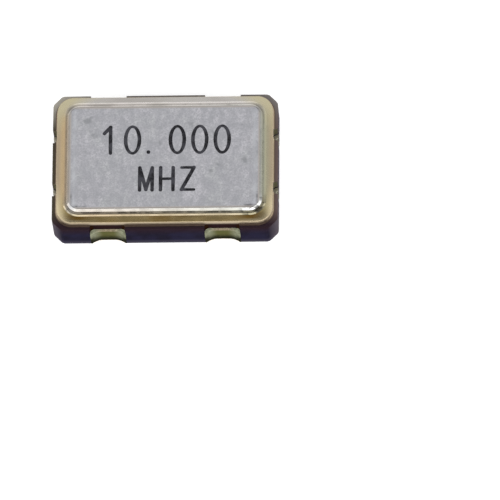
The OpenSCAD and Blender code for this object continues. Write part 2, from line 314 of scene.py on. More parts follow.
# A new material with its shader and its place on the piece in millimetres
class Finish:
    def __init__(self, name, metallic):
        self.material = bpy.data.materials.new(name)
        self.material.use_nodes = True
        self.nodes = self.material.node_tree.nodes
        self.links = self.material.node_tree.links
        self.shader = self.nodes["Principled BSDF"]
        self.shader.inputs["Metallic"].default_value = metallic
        coordinates = self.nodes.new("ShaderNodeTexCoord")
        mapping = self.nodes.new("ShaderNodeMapping")
        mapping.inputs["Scale"].default_value = [1 / millimetre] * 3
        self.links.new(coordinates.outputs["Object"], mapping.inputs["Vector"])
        self.place = mapping.outputs["Vector"]

    # A shared pattern, drawn out along the axes whose stretch is below 1
    def group(self, tree, stretch=None, **values):
        node = self.nodes.new("ShaderNodeGroup")
        node.node_tree = tree
        place = self.place
        if stretch:
            drawn = self.nodes.new("ShaderNodeVectorMath")
            drawn.operation = "MULTIPLY"
            drawn.inputs[1].default_value = stretch
            self.links.new(place, drawn.inputs[0])
            place = drawn.outputs["Vector"]
        self.links.new(place, node.inputs["Place"])
        for name, value in values.items():
            node.inputs[name].default_value = value
        return node

    def mix(self, mask, first, second):
        node = self.nodes.new("ShaderNodeMix")
        node.data_type = "RGBA"
        self.links.new(mask, node.inputs["Factor"])
        for value, socket in ((first, node.inputs[6]), (second, node.inputs[7])):
            if isinstance(value, tuple):
                socket.default_value = value
            else:
                self.links.new(value, socket)
        return node.outputs[2]

    def spread(self, value, fromLow, fromHigh, toLow, toHigh):
        node = self.nodes.new("ShaderNodeMapRange")
        self.links.new(value, node.inputs["Value"])
        limits = {"From Min": fromLow, "From Max": fromHigh, "To Min": toLow, "To Max": toHigh}
        for name, number in limits.items():
            node.inputs[name].default_value = number
        return node.outputs["Result"]

    def rise(self, value, low, high):
        return self.spread(value, low, high, 0, 1)

    def fall(self, value, low, high):
        return self.spread(value, low, high, 1, 0)

    def along(self, axis):
        node = self.nodes.new("ShaderNodeSeparateXYZ")
        self.links.new(self.place, node.inputs["Vector"])
        return node.outputs[axis]

    # Distance outside the ring's outline if it had this corner, below zero inside it
    def rimDistance(self, corner):
        middle = (ringHigh.x - corner, ringHigh.y - corner, 0)
        return self.group(rimGroup, Middle=middle, Corner=corner).outputs["Distance"]

    # Full at the middle one of three values, and none at the outer two
    def bump(self, value, stops):
        rise = self.rise(value, stops[0], stops[1])
        return self.both(rise, self.fall(value, stops[1], stops[2]))

    def both(self, first, second):
        node = self.nodes.new("ShaderNodeMath")
        node.operation = "MULTIPLY"
        self.links.new(first, node.inputs[0])
        self.links.new(second, node.inputs[1])
        return node.outputs[0]

    # How far along an axis a point is from the nearer of two planes that mirror each other
    def awayFrom(self, axis, plane):
        last = self.along(axis)
        for operation, number in (("ABSOLUTE", 0), ("SUBTRACT", plane), ("ABSOLUTE", 0)):
            node = self.nodes.new("ShaderNodeMath")
            node.operation = operation
            node.inputs[1].default_value = number
            self.links.new(last, node.inputs[0])
            last = node.outputs[0]
        return last

    def use(self, socket, value):
        self.links.new(value, self.shader.inputs[socket])

    # The grain's relief, and a roughness that follows its tone from smooth to rough
    def texture(self, grain, smooth, rough):
        self.use("Roughness", self.spread(grain.outputs["Tone"], 0.3, 0.7, smooth, rough))
        self.use("Normal", grain.outputs["Normal"])


def dress(piece, *finishes):
    piece.data.materials.clear()
    for finish in finishes:
        piece.data.materials.append(finish.material)


# Gives the faces that pass the test another of the piece's finishes
def dressFaces(piece, index, test):
    pick(piece, "FACE", test)
    piece.active_material_index = index
    bpy.ops.object.material_slot_assign()
    bpy.ops.object.mode_set(mode="OBJECT")


# Ceramic base

baseLow, baseHigh = boxOf("ceramic_base")
ledgeHeight = boxOf("bond_finger_1")[0].z
shelfHeight = boxOf("crystal_land_1")[0].z
floorHeight = boxOf("die_land")[0].z
padPitch = 2.54
testPitch = 1.27

# Each fade is the pair of places between which one colour gives way to the next
baseSet = {
    "cornerCut": 0.21,
    "cornerRound": 0.05,
    "edgeRound": 0.012,
    "slotFlat": 0.24,
    "slotRadius": 0.40,
    "slotDepth": 0.11,
    "recessLength": 0.79,
    "recessDepth": 0.145,
    "recessCorner": 0.10,
    "holeRadius": 0.07,
    "holeLandRadius": 0.13,
    "upperHoleRadius": 0.15,
    "rim": 0.5,
    "cavityCorner": 0.2,
    "crystalShelf": 0.55,
    "pillow": 0.5,
    "bondLedge": 0.48,
    "pitLength": 1.5,
    "footFade": (0.02, 0.22),
    "underRingShadeFade": (0.5, 0.8),
    "ledgeFade": (0.49, 0.52),
    "browFade": (0.806, 0.818),
    "recessLengthFade": (0.38, 0.40),
    "recessDepthFade": (-0.005, 0.01),
    "faceFade": (0.005, 0.02),
    "holeFade": (0.146, 0.152),
    "sideFade": (-1, 1),
    "nearFade": (-1.5, -1.1),
    "farFade": (0.8, 1.4),
    "farLeftFade": (-1.9, -1.5),
}
slotCentre = baseHigh.y + baseSet["slotRadius"] - baseSet["slotDepth"]


def makeCeramic():
    finish = Finish("darkCeramic", 0)
    grain = finish.group(grainGroup, Size=45, Depth=0.004)
    patches = finish.group(patchGroup, Size=3.5, Low=0.35, High=0.7)
    along, across, height = (finish.along(axis) for axis in "XYZ")
    body = finish.mix(patches.outputs["Mask"], paint(21, 18, 33), paint(28, 26, 46))
    # Painted light: the ceramic is lighter near its foot, as the floor lights the walls there
    foot = finish.mix(finish.rise(height, *baseSet["footFade"]), paint(66, 63, 76), body)
    # Painted shade: the walls darken towards their top, under the ring
    underRingShade = finish.mix(finish.rise(height, *baseSet["underRingShadeFade"]), foot, paint(33, 20, 29))
    shortSide = finish.fall(finish.awayFrom("X", baseHigh.x), 0, baseSet["cornerCut"])
    walls = finish.mix(shortSide, underRingShade, paint(80, 73, 80))
    # The walls of the pad recesses get a painted shade, and those over the test holes are paler
    upper = finish.rise(height, *baseSet["ledgeFade"])
    halfDepth = baseSet["recessDepth"] / 2
    low, high = baseSet["recessDepthFade"]
    deep = finish.fall(finish.awayFrom("Y", baseHigh.y - halfDepth), halfDepth + low, halfDepth + high)
    wide = finish.fall(finish.awayFrom("X", padPitch / 2), *baseSet["recessLengthFade"])
    inset = finish.rise(finish.awayFrom("Y", baseHigh.y), *baseSet["faceFade"])
    recess = finish.both(finish.both(deep, wide), finish.both(inset, upper))
    walls = finish.mix(recess, walls, paint(36, 16, 4))
    hole = finish.fall(finish.awayFrom("Y", testPitch / 2), *baseSet["holeFade"])
    walls = finish.mix(finish.both(hole, upper), walls, paint(84, 80, 60))
    # The margin round the ring, from the left to the right and from the near side to the far one, with
    # painted light and shade: darker at the near side and lighter towards the far side
    sideMargin = finish.mix(finish.rise(along, *baseSet["sideFade"]), paint(76, 70, 58), paint(106, 91, 88))
    farMargin = finish.mix(finish.rise(along, *baseSet["farLeftFade"]),
                           paint(166, 162, 152), paint(120, 115, 112))
    margin = finish.mix(finish.rise(across, *baseSet["nearFade"]), paint(44, 32, 38), sideMargin)
    margin = finish.mix(finish.rise(across, *baseSet["farFade"]), margin, farMargin)
    whole = finish.mix(finish.rise(height, *baseSet["browFade"]), walls, margin)
    specks = finish.spread(grain.outputs["Tone"], 0.55, 0.8, 0, 0.35)
    specks = finish.both(specks, finish.fall(recess, 0, 1))
    finish.use("Base Color", finish.mix(specks, whole, paint(78, 72, 92)))
    finish.texture(grain, 0.6, 0.75)
    finish.shader.inputs["Specular IOR Level"].default_value = 0.012
    return finish


# A shape made over the first of four places, repeated over the other three as one cutting shape
def overAll(first, pitch):
    others = [copyPiece(first, "cutter", (pitch, 0, 0)), copyPiece(first, "cutter", turn=180),
              copyPiece(first, "cutter", (-pitch, 0, 0), 180)]
    return joinPieces([first] + others)


def padSlot(grow, bottom, top):
    return addSlot("padSlot", (-padPitch / 2, -slotCentre), baseSet["slotFlat"],
                   baseSet["slotRadius"] + grow, bottom, top)


# The recess over a pad slot, with round inner corners
def padRecess(bottom, top):
    recess = addPlate("padRecess", baseSet["recessLength"], 2 * baseSet["recessDepth"], bottom, top,
                      baseSet["recessCorner"], segments=8)
    recess.location = (-padPitch / 2, baseLow.y, 0)
    settle()
    return recess


# The four half holes in the short sides as one cutting shape
def holeCutters(radius, bottom, top):
    first = addSlot("holeCutter", (-baseHigh.x, -testPitch / 2), 0, radius, bottom, top, sides=32)
    return overAll(first, 2 * baseHigh.x)


def makeCeramicBase():
    base = addBlock("ceramicBase", baseLow, baseHigh)
    bevelEdges(base, isUpright, baseSet["cornerCut"], 1)
    bevelEdges(base, isUpright, baseSet["cornerRound"], 3)
    halfLength, halfWidth = baseHigh.x - baseSet["rim"], baseHigh.y - baseSet["rim"]
    combine(base, addPlate("cavity", 2 * halfLength, 2 * halfWidth, shelfHeight, over,
                           baseSet["cavityCorner"], segments=6))
    shelfHole = addBlock("shelfHole", (baseSet["crystalShelf"] - halfLength, -halfWidth, ledgeHeight),
                         (halfLength - baseSet["pillow"], halfWidth, over))
    bevelEdges(shelfHole, isUpright, baseSet["cavityCorner"], 6)
    combine(base, shelfHole)
    pitLength, pitWidth = baseSet["pitLength"] / 2, halfWidth - baseSet["bondLedge"]
    combine(base, addBlock("pit", (-pitLength, -pitWidth, floorHeight), (pitLength, pitWidth, over)))
    combine(base, overAll(padSlot(0, under, ledgeHeight), padPitch))
    combine(base, overAll(padRecess(ledgeHeight, over), padPitch))
    combine(base, holeCutters(baseSet["holeRadius"], under, ledgeHeight))
    combine(base, holeCutters(baseSet["upperHoleRadius"], ledgeHeight, over))
    breakEdges(base, baseSet["edgeRound"])
    dress(base, makeCeramic())
    finishPiece(base, ["ceramic_base"])


makeCeramicBase()


# Seal ring and braze

ringLow, ringHigh = boxOf("seal_ring")
lidLow, lidHigh = boxOf("lid")
brazeLow, brazeHigh = boxOf("braze_joint")

ringSet = {
    "corner": 0.36,
    "wall": 0.35,
    "holeCorner": 0.2,
    "cornerSegments": 14,
    "crownDrops": (0.034, 0.018, 0.007),
    "edgeRound": 0.02,
    "sideBelow": 0.93,  # faces that look up less than this are sides
    "shade": (0.872, 0.912),
}

# Where the painted light of each side and the weld's scorches change, as places along and across the part
# and as rim distances
lightAndScorchSet = {
    "inward": (-0.2, -0.04),
    "leftInner": (-0.2, -0.12),
    "leftOuter": (-0.12, -0.05),
    "leftToRight": (-1.6, 1.9),
    "nearFade": (-1.4, -1.15),
    "farFade": (1.0, 1.35),
    "nearToFar": (-0.6, 0.6),
    "corner": 1.4,
    "scorchPlace": 1.9,
    "scorchAlong": (0.05, 0.36),
    "scorchAcross": (-1.34, -1.2),
    "scorchRim": (-0.09, -0.04),
}


# Gold whose tones change from its outer edge to the lid and differ on each side: painted light and
# reflections that stand in for how light falls on each side
def sideLightTint(finish, patches, near, far, corner):
    rim = finish.rimDistance(ringSet["corner"])
    along, across = finish.along("X"), finish.along("Y")
    inward = finish.fall(rim, *lightAndScorchSet["inward"])
    leftTone = finish.mix(finish.rise(rim, *lightAndScorchSet["leftInner"]),
                          paint(182, 158, 124), paint(204, 180, 142))
    leftTone = finish.mix(finish.rise(rim, *lightAndScorchSet["leftOuter"]), leftTone, paint(184, 166, 140))
    rightTone = finish.mix(inward, paint(184, 168, 142), paint(178, 178, 153))
    sides = finish.mix(finish.rise(along, *lightAndScorchSet["leftToRight"]), leftTone, rightTone)
    nearTone = finish.mix(patches.outputs["Mask"], *near)
    front = finish.mix(finish.rise(across, *lightAndScorchSet["nearFade"]), nearTone, sides)
    farTone = finish.mix(patches.outputs["Mask"], *far)
    whole = finish.mix(finish.rise(across, *lightAndScorchSet["farFade"]), front, farTone)
    # Painted highlights and shade at the corners
    corners = finish.rimDistance(lightAndScorchSet["corner"])
    nearCorner = finish.mix(inward, *corner)
    paintedCornerLight = finish.mix(finish.rise(across, *lightAndScorchSet["nearToFar"]), nearCorner, paint(206, 196, 160))
    return finish.mix(finish.spread(corners, 0, 0.3, 0, 0.85), whole, paintedCornerLight)


def makeRingGold():
    finish = Finish("ringGold", 1)
    grain = finish.group(grainGroup, stretch=(0.3, 1, 1), Size=5, Depth=0.003)
    patches = finish.group(patchGroup, stretch=(0.5, 1, 1), Size=2.4, Low=0.46, High=0.64)
    # Painted light: the tones of the near side, the far side and the corners
    near = (paint(206, 181, 128), paint(190, 158, 98))
    far = (paint(196, 192, 187), paint(186, 181, 176))
    tint = sideLightTint(finish, patches, near, far, (paint(232, 216, 178), paint(172, 158, 108)))
    # Brown scorches where the near side runs into its corners
    away = finish.awayFrom("X", lightAndScorchSet["scorchPlace"])
    scorch = finish.both(finish.spread(away, *lightAndScorchSet["scorchAlong"], 0.95, 0),
                         finish.fall(finish.along("Y"), *lightAndScorchSet["scorchAcross"]))
    rim = finish.rimDistance(ringSet["corner"])
    scorch = finish.both(scorch, finish.fall(rim, *lightAndScorchSet["scorchRim"]))
    finish.use("Base Color", finish.mix(scorch, tint, paint(158, 122, 60)))
    finish.texture(grain, 0.2, 0.32)
    return finish


def makeRingSide():
    finish = Finish("ringSide", 1)
    grain = finish.group(grainGroup, Size=16, Depth=0.008)
    bright = finish.mix(grain.outputs["Tone"], paint(160, 145, 122), paint(180, 166, 142))
    lit = finish.rise(finish.along("Z"), *ringSet["shade"])
    finish.use("Base Color", finish.mix(lit, paint(84, 68, 56), bright))
    finish.texture(grain, 0.5, 0.65)
    return finish


# How far a point lies inside the outline of the ring
def depthInside(point):
    corner = ringSet["corner"]
    x, y = abs(point.x) - (ringHigh.x - corner), abs(point.y) - (ringHigh.y - corner)
    if x > 0 and y > 0:
        return corner - math.hypot(x, y)
    return corner - max(x, y)


# A plate with the outline of the ring's hole
def addHole(bottom, top):
    halfLength, halfWidth = ringHigh.x - ringSet["wall"], ringHigh.y - ringSet["wall"]
    return addPlate("hole", 2 * halfLength, 2 * halfWidth, bottom, top, ringSet["holeCorner"], segments=8)


def makeSealRing():
    ring = addPlate("sealRing", 2 * ringHigh.x, 2 * ringHigh.y, ringLow.z, ringHigh.z,
                    ringSet["corner"], ringSet["cornerSegments"])
    drops = ringSet["crownDrops"]
    step = (ringHigh.x - lidHigh.x) / len(drops)
    pick(ring, "FACE", looksUp)
    for drop in drops:
        bpy.ops.mesh.inset(thickness=step)
    bpy.ops.object.mode_set(mode="OBJECT")
    for turn, drop in enumerate(drops):
        pick(ring, "VERT", lambda point: point.z > ringHigh.z - hair and
             abs(depthInside(point) - turn * step) < step / 3)
        bpy.ops.transform.translate(value=(0, 0, -drop))
        bpy.ops.object.mode_set(mode="OBJECT")
    combine(ring, addHole(0, over))
    bevelEdges(ring, liesAt(ringHigh.z - drops[0]), ringSet["edgeRound"], 5)
    dress(ring, makeRingGold(), makeRingSide())
    dressFaces(ring, 1, lambda centre, normal: normal.z < ringSet["sideBelow"])
    finishPiece(ring, ["seal_ring"], 50)


makeSealRing()

brazeSet = {
    "shade": (0.850, 0.866),
    "nearFade": (-1.45, -1.3),
    "cutFrom": 0.3,
    "filletShare": 0.98,
    "filletProfile": 0.2,
}


def makeBraze():
    finish = Finish("brownBraze", 1)
    grain = finish.group(grainGroup, Size=14, Depth=0.006)
    pale = finish.mix(grain.outputs["Tone"], paint(168, 152, 124), paint(188, 174, 148))
    dark = finish.mix(grain.outputs["Tone"], paint(84, 68, 60), paint(108, 92, 80))
    # Painted shade: the braze is dark low down and darker still at the near side
    risen = finish.mix(finish.rise(finish.along("Z"), *brazeSet["shade"]), dark, pale)
    near = finish.fall(finish.along("Y"), *brazeSet["nearFade"])
    finish.use("Base Color", finish.mix(near, risen, paint(66, 54, 47)))
    finish.texture(grain, 0.5, 0.65)
    return finish


def makeBrazeFillet():
    reach = brazeHigh.x - ringHigh.x
    braze = addPlate("brazeFillet", 2 * brazeHigh.x, 2 * brazeHigh.y, brazeLow.z, brazeHigh.z,
                     ringSet["corner"] + reach, ringSet["cornerSegments"])
    bevelEdges(braze, liesOver(brazeHigh.z), reach * brazeSet["filletShare"], 4,
               profile=brazeSet["filletProfile"])
    combine(braze, addPlate("ringBody", 2 * ringHigh.x, 2 * ringHigh.y, ringLow.z, over,
                            ringSet["corner"], ringSet["cornerSegments"]))
    combine(braze, addHole(0, over))
    combine(braze, overAll(padRecess(brazeSet["cutFrom"], over), padPitch))
    combine(braze, holeCutters(baseSet["upperHoleRadius"], brazeSet["cutFrom"], over))
    dress(braze, makeBraze())
    finishPiece(braze, ["braze_joint"])


makeBrazeFillet()


# Lid

lidSet = {
    "corner": 0.28,
    "slopeWidth": 0.06,
    "slopeDrop": 0.05,
    "slopeBelow": 0.97,  # faces that look up less than this are the slope
    "creaseRound": 0.009,
    "edgeRound": 0.01,
    "endHighlight": (-0.50, -0.41, -0.34),
    "endHighlightAlong": (1.9, 2.0),
    "cornerShade": (-0.38, -0.34, -0.31),
    "cornerShadeAlong": (1.65, 1.85),
    "cornerShadeAcross": (-0.95, -0.8),
    "warm": (-0.34, -0.30),
}

weldSet = {
    "reach": 0.085,
    "height": 0.026,
    "flank": 0.04,
    "crownRound": 0.012,
    "rise": 0.002,
    "sunk": 0.004,
    "outerTint": (-0.32, -0.17),
    "crease": (-0.21, -0.185),
    "creaseShadeAcross": (-1.2, -1.0),
    "farFade": (1.0, 1.15),
    "endAlong": (1.62, 1.85),
    "endAcross": (-1.05, -0.85),
}
# Painted light: the weld's tones at the far side
weldFar = (paint(226, 220, 217), paint(212, 207, 203))


def makeLidNickel():
    finish = Finish("lidNickel", 1)
    grain = finish.group(grainGroup, Size=30, Depth=0.002)
    clouds = finish.group(patchGroup, Size=1.6, Low=0.35, High=0.68)
    mottle = finish.group(patchGroup, stretch=(1, 0.5, 1), Size=6, Low=0.3, High=0.7)
    flecks = finish.group(patchGroup, Size=13, Low=0.34, High=0.66)
    smudges = finish.group(patchGroup, Size=3.2, Low=0.66, High=0.78)
    ground = finish.mix(clouds.outputs["Mask"], paint(227, 225, 231), paint(219, 220, 222))
    toned = finish.mix(finish.spread(mottle.outputs["Mask"], 0, 1, 0, 0.85), ground, paint(196, 196, 202))
    flecked = finish.mix(finish.spread(flecks.outputs["Mask"], 0, 1, 0, 0.4), toned, paint(172, 173, 178))
    specks = finish.spread(grain.outputs["Tone"], 0.4, 0.6, 0, 0.65)
    speckled = finish.mix(specks, flecked, paint(176, 177, 182))
    worn = finish.mix(finish.spread(smudges.outputs["Mask"], 0, 1, 0, 0.6), speckled, paint(150, 152, 156))
    # A painted highlight lightens the ends of the lid, the weld has warmed its edge, and a painted shade
    # darkens its near corners
    rim = finish.rimDistance(ringSet["corner"])
    fromMiddle = finish.awayFrom("X", 0)
    endHighlight = finish.both(finish.bump(rim, lidSet["endHighlight"]),
                         finish.rise(fromMiddle, *lidSet["endHighlightAlong"]))
    endHighlight = finish.both(endHighlight, finish.spread(mottle.outputs["Mask"], 0, 0.8, 1, 0.3))
    endHighlighted = finish.mix(endHighlight, worn, paint(214, 216, 221))
    nearCorner = finish.both(finish.rise(fromMiddle, *lidSet["cornerShadeAlong"]),
                             finish.fall(finish.along("Y"), *lidSet["cornerShadeAcross"]))
    cornerShade = finish.both(finish.both(finish.bump(rim, lidSet["cornerShade"]), nearCorner),
                       finish.spread(mottle.outputs["Mask"], 0.1, 0.6, 0.3, 1))
    cornerShaded = finish.mix(cornerShade, endHighlighted, paint(112, 112, 114))
    finish.use("Base Color", finish.mix(finish.rise(rim, *lidSet["warm"]), cornerShaded, paint(196, 188, 180)))
    finish.texture(grain, 0.34, 0.5)
    return finish


# Nickel of the lid's edge, bare on the lid and tinted outwards with tones that differ on each side as
# painted light, with painted shade in dark dashes along the crease, strongest at the near weld
def makeWeldNickel(name, near, far, creaseShade, end):
    finish = Finish(name, 1)
    grain = finish.group(grainGroup, Size=9, Depth=0.006)
    patches = finish.group(patchGroup, Size=2.6, Low=0.4, High=0.65)
    markAndShadeDashes = finish.group(patchGroup, stretch=(0.6, 1, 1), Size=9, Low=0.44, High=0.6)
    across = finish.along("Y")
    rim = finish.rimDistance(ringSet["corner"])
    bare = finish.mix(grain.outputs["Tone"], paint(144, 144, 144), paint(172, 172, 173))
    # Painted shade: the bare nickel is darker at the far side
    bare = finish.mix(finish.rise(across, *weldSet["farFade"]), bare, paint(126, 124, 124))
    paintedSideLight = sideLightTint(finish, patches, near, far, (end, end))
    whole = finish.mix(finish.fall(rim, *weldSet["outerTint"]), paintedSideLight, bare)
    # Where the weld ends meet, the nickel is torn, and a painted highlight makes it bright
    weldEnd = finish.both(finish.rise(finish.along("X"), *weldSet["endAlong"]),
                          finish.fall(across, *weldSet["endAcross"]))
    run = finish.mix(weldEnd, whole, end)
    # Painted shade: dark dashes along the crease, strongest at the near side; at the weld ends the same
    # dashes are torn marks
    crease = finish.both(finish.spread(across, *weldSet["creaseShadeAcross"], creaseShade, creaseShade / 4),
                         finish.fall(rim, *weldSet["crease"]))
    tornAndShaded = finish.both(markAndShadeDashes.outputs["Mask"], finish.mix(weldEnd, crease, paint(238, 238, 238)))
    finish.use("Base Color", finish.mix(tornAndShaded, run, paint(44, 40, 36)))
    finish.use("Roughness", finish.spread(patches.outputs["Mask"], 0, 1, 0.18, 0.34))
    finish.use("Normal", grain.outputs["Normal"])
    return finish


def makeLid():
    slopeFoot = lidHigh.z - lidSet["slopeDrop"]
    lid = addPlate("lidPlate", 2 * lidHigh.x, 2 * lidHigh.y, lidLow.z, slopeFoot,
                   lidSet["corner"], ringSet["cornerSegments"])
    slopeTop(lid, lidSet["slopeWidth"], lidSet["slopeDrop"])
    bevelEdges(lid, liesOver(lidHigh.z), lidSet["creaseRound"], 4)
    bevelEdges(lid, liesAt(slopeFoot), lidSet["edgeRound"], 3)
    # Painted light: the slope's near tones, and a painted highlight in the bright tone of its corners and
    # weld end
    near = (paint(154, 154, 153), paint(140, 139, 136))
    dress(lid, makeLidNickel(), makeWeldNickel("weldSlope", near, weldFar, 0.15, paint(196, 196, 194)))
    dressFaces(lid, 1, lambda centre, normal: normal.z < lidSet["slopeBelow"] and
               centre.z > lidLow.z + 10 * hair)
    finishPiece(lid, ["lid"], 30)


def makeWeldBead():
    reach, foot = weldSet["reach"], lidLow.z + weldSet["rise"]
    bead = addPlate("weldBead", 2 * (lidHigh.x + reach), 2 * (lidHigh.y + reach),
                    lidLow.z - weldSet["sunk"], foot, lidSet["corner"] + reach, ringSet["cornerSegments"])
    slopeTop(bead, weldSet["flank"], weldSet["height"])
    bevelEdges(bead, liesOver(foot + weldSet["height"]), weldSet["crownRound"], 4)
    # Painted light: the bead's near tones, the strong painted shade of its crease, and a painted shade in
    # the darker tone of its corners and weld end
    near = (paint(146, 134, 114), paint(136, 124, 102))
    dress(bead, makeWeldNickel("weldBead", near, weldFar, 0.6, paint(150, 144, 120)))
    finishPiece(bead, (), 50)


makeLid()
makeWeldBead()


# Terminals

terminalSet = {
    "plating": 0.02,
    "padLength": 1.22,
    "padWidth": 0.96,
    "padMargin": 0.04,
    "padCorner": 0.05,
    "keyCut": 0.33,
    "landHeight": 0.01,
    "edgeRound": 0.006,
    "wallFrom": 0.03,
    "ledgeOver": 0.3,  # faces of the land that look up more than this are its top
    "footFade": (0.1, 0.3),
    "endFootFade": (0.22, 0.4),
    "endFade": (0.27, 0.36),
    "middleFade": (0.12, 0.3),
    "landFade": (0.46, 0.49),
}


def makePadGold():
    finish = Finish("padGold", 1)
    grain = finish.group(grainGroup, Size=30, Depth=0.003)
    patches = finish.group(patchGroup, Size=2.5, Low=0.4, High=0.65)
    gold = finish.mix(patches.outputs["Mask"], paint(228, 196, 132), paint(216, 186, 128))
    finish.use("Base Color", gold)
    finish.texture(grain, 0.38, 0.5)
    return finish


# Thin plating over the rough metal paste of a castellation, with painted shade in its colour and reflection
# at its foot, reaching higher out at its ends
def makeSlotPlating(name, middle, end, roughness, edgeTone):
    finish = Finish(name, 1)
    grain = finish.group(grainGroup, Size=16, Depth=0.01)
    height = finish.along("Z")
    away = finish.awayFrom("X", padPitch / 2)
    foot = finish.mix(finish.rise(away, *terminalSet["endFade"]),
                      finish.spread(height, *terminalSet["footFade"], 0.95, 0),
                      finish.spread(height, *terminalSet["endFootFade"], 0.97, 0))
    finish.use("Specular Tint", finish.mix(foot, edgeTone, paint(30, 28, 26)))
    tone = finish.mix(finish.rise(away, *terminalSet["middleFade"]), middle, end)
    uneven = finish.mix(finish.spread(grain.outputs["Tone"], 0.3, 0.7, 0, 0.5), tone, paint(120, 114, 84))
    finish.use("Base Color", finish.mix(foot, uneven, paint(50, 50, 40)))
    finish.texture(grain, roughness, roughness + 0.15)
    return finish


def makeTestPlating():
    finish = Finish("testPlating", 1)
    grain = finish.group(grainGroup, Size=30, Depth=0.004)
    land = finish.rise(finish.along("Z"), *terminalSet["landFade"])
    finish.use("Base Color", finish.mix(land, paint(104, 99, 80), paint(190, 184, 166)))
    finish.texture(grain, 0.4, 0.55)
    return finish


# Throws away what stands out past the near side or the left one
def trim(piece, right, far):
    combine(piece, addBlock("outside", (-clear, -clear, under), (right, far, over)))


def makeTerminals():
    plating = terminalSet["plating"]
    landTop = ledgeHeight + terminalSet["landHeight"]
    left, right = (-padPitch / 2 + side * terminalSet["padLength"] / 2 for side in (-1, 1))
    near = baseLow.y + terminalSet["padMargin"]
    far = near + terminalSet["padWidth"]
    plain = addBlock("terminal", (left, near, 0), (right, far, plating))
    bevelEdges(plain, isUpright, terminalSet["padCorner"], 4)
    combine(plain, padSlot(0, plating / 2, (ledgeHeight + landTop) / 2), "UNION")
    combine(plain, padRecess(ledgeHeight, landTop), "UNION")
    combine(plain, padSlot(-plating, under, over))
    trim(plain, 0, baseLow.y)
    keyed = copyPiece(plain, "terminal1")
    keyHalf = terminalSet["keyCut"] / math.sqrt(2)
    key = addBlock("key", (-keyHalf, -keyHalf, under), (keyHalf, keyHalf, 2 * plating))
    key.rotation_euler.z = math.radians(45)
    key.location = (right, far, 0)
    settle()
    combine(keyed, key)
    terminals = [keyed, copyPiece(plain, "terminal2", (padPitch, 0, 0)),
                 copyPiece(plain, "terminal3", turn=180),
                 copyPiece(plain, "terminal4", (-padPitch, 0, 0), 180)]
    bpy.data.objects.remove(plain, do_unlink=True)
    wall = makeSlotPlating("slotWall", paint(104, 106, 70), paint(156, 160, 142), 0.5, paint(110, 106, 84))
    ledge = makeSlotPlating("slotLedge", paint(236, 224, 200), paint(226, 230, 206), 0.85,
                            paint(255, 255, 255))
    padGold = makePadGold()
    for number, terminal in enumerate(terminals, 1):
        breakEdges(terminal, terminalSet["edgeRound"])
        dress(terminal, padGold, wall, ledge)
        dressFaces(terminal, 1, lambda centre, normal: centre.z > terminalSet["wallFrom"])
        dressFaces(terminal, 2, lambda centre, normal: centre.z > ledgeHeight - 2 * hair and
                   normal.z > terminalSet["ledgeOver"])
        finishPiece(terminal, [f"terminal_{number}"])


def makeTestTerminals():
    plating = terminalSet["plating"]
    place = (baseLow.x, -testPitch / 2)
    barrel = addSlot("testTerminal", place, 0, baseSet["holeRadius"], 0, ledgeHeight, sides=32)
    for bottom, top in ((0, plating), (ledgeHeight, ledgeHeight + terminalSet["landHeight"])):
        land = addSlot("land", place, 0, baseSet["holeLandRadius"], bottom, top, sides=32)
        combine(barrel, land, "UNION")
    combine(barrel, addSlot("opening", place, 0, baseSet["holeRadius"] - plating, under, over, sides=32))
    trim(barrel, baseLow.x, 0)
    terminals = [barrel, copyPiece(barrel, "testTerminal2", (0, -testPitch, 0), 180),
                 copyPiece(barrel, "testTerminal3", turn=180),
                 copyPiece(barrel, "testTerminal4", (0, testPitch, 0))]
    barrel.name = "testTerminal1"
    testPlating = makeTestPlating()
    for number, terminal in enumerate(terminals, 1):
        dress(terminal, testPlating)
        finishPiece(terminal, [f"test_terminal_{number}"])


makeTerminals()
makeTestTerminals()


# Marking

markingSet = {
    "upper": "10.000",
    "lower": "MHZ",
    "stroke": 0.084,
    "bar": 0.064,
    "proud": 0.002,
    "sunk": 0.002,
    "upperCell": (0.39, 0.70, 0.497),  # width, height and pitch
    "lowerCell": (0.36, 0.61, 0.462),
    "upperStart": (-1.402, 0.067),
    "lowerStart": (-0.583, -0.82),
    "dot": 0.085,
    "dotShift": (0.01, 0.015),
}

# Each sign is drawn in a cell one unit wide and high, as straight strokes and whole ovals
signs = {
    "0": ["oval"],
    "1": [((0.53, 0), (0.53, 1)), ((0.08, 0.76), (0.53, 1))],
    ".": ["dot"],
    "M": [((0, 0), (0, 1)), ((0, 1), (0.5, 0.02)), ((0.5, 0.02), (1, 1)), ((1, 1), (1, 0))],
    "H": [((0, 0), (0, 1)), ((1, 0), (1, 1)), ((0, 0.5), (1, 0.5))],
    "Z": [((0, 1), (1, 1)), ((1, 1), (0, 0)), ((0, 0), (1, 0))],
}


def makeMarkingInk():
    finish = Finish("burntMarking", 0)
    grain = finish.group(grainGroup, Size=26, Depth=0.004)
    faded = finish.group(patchGroup, Size=5, Low=0.42, High=0.62)
    ink = finish.mix(faded.outputs["Mask"], paint(12, 12, 17), paint(58, 58, 64))
    worn = finish.spread(grain.outputs["Tone"], 0.4, 0.7, 0, 0.5)
    finish.use("Base Color", finish.mix(worn, ink, paint(66, 66, 70)))
    finish.texture(grain, 0.6, 0.8)
    finish.shader.inputs["Specular IOR Level"].default_value = 0.2
    return finish


def addStroke(start, end, width, bottom, top):
    start, end = Vector(start), Vector(end)
    run = end - start
    stroke = addSlot("stroke", (0, 0), run.length, width / 2, bottom, top, sides=16)
    stroke.rotation_euler.z = math.atan2(run.y, run.x)
    stroke.location = (*((start + end) / 2), 0)
    settle()
    return stroke


def addOval(centre, width, height, bottom, top):
    freshStart()
    bpy.ops.mesh.primitive_cylinder_add(vertices=40, radius=0.5, depth=top - bottom,
                                        location=(*centre, (top + bottom) / 2), scale=(width, height, 1))
    settle()
    return bpy.context.object


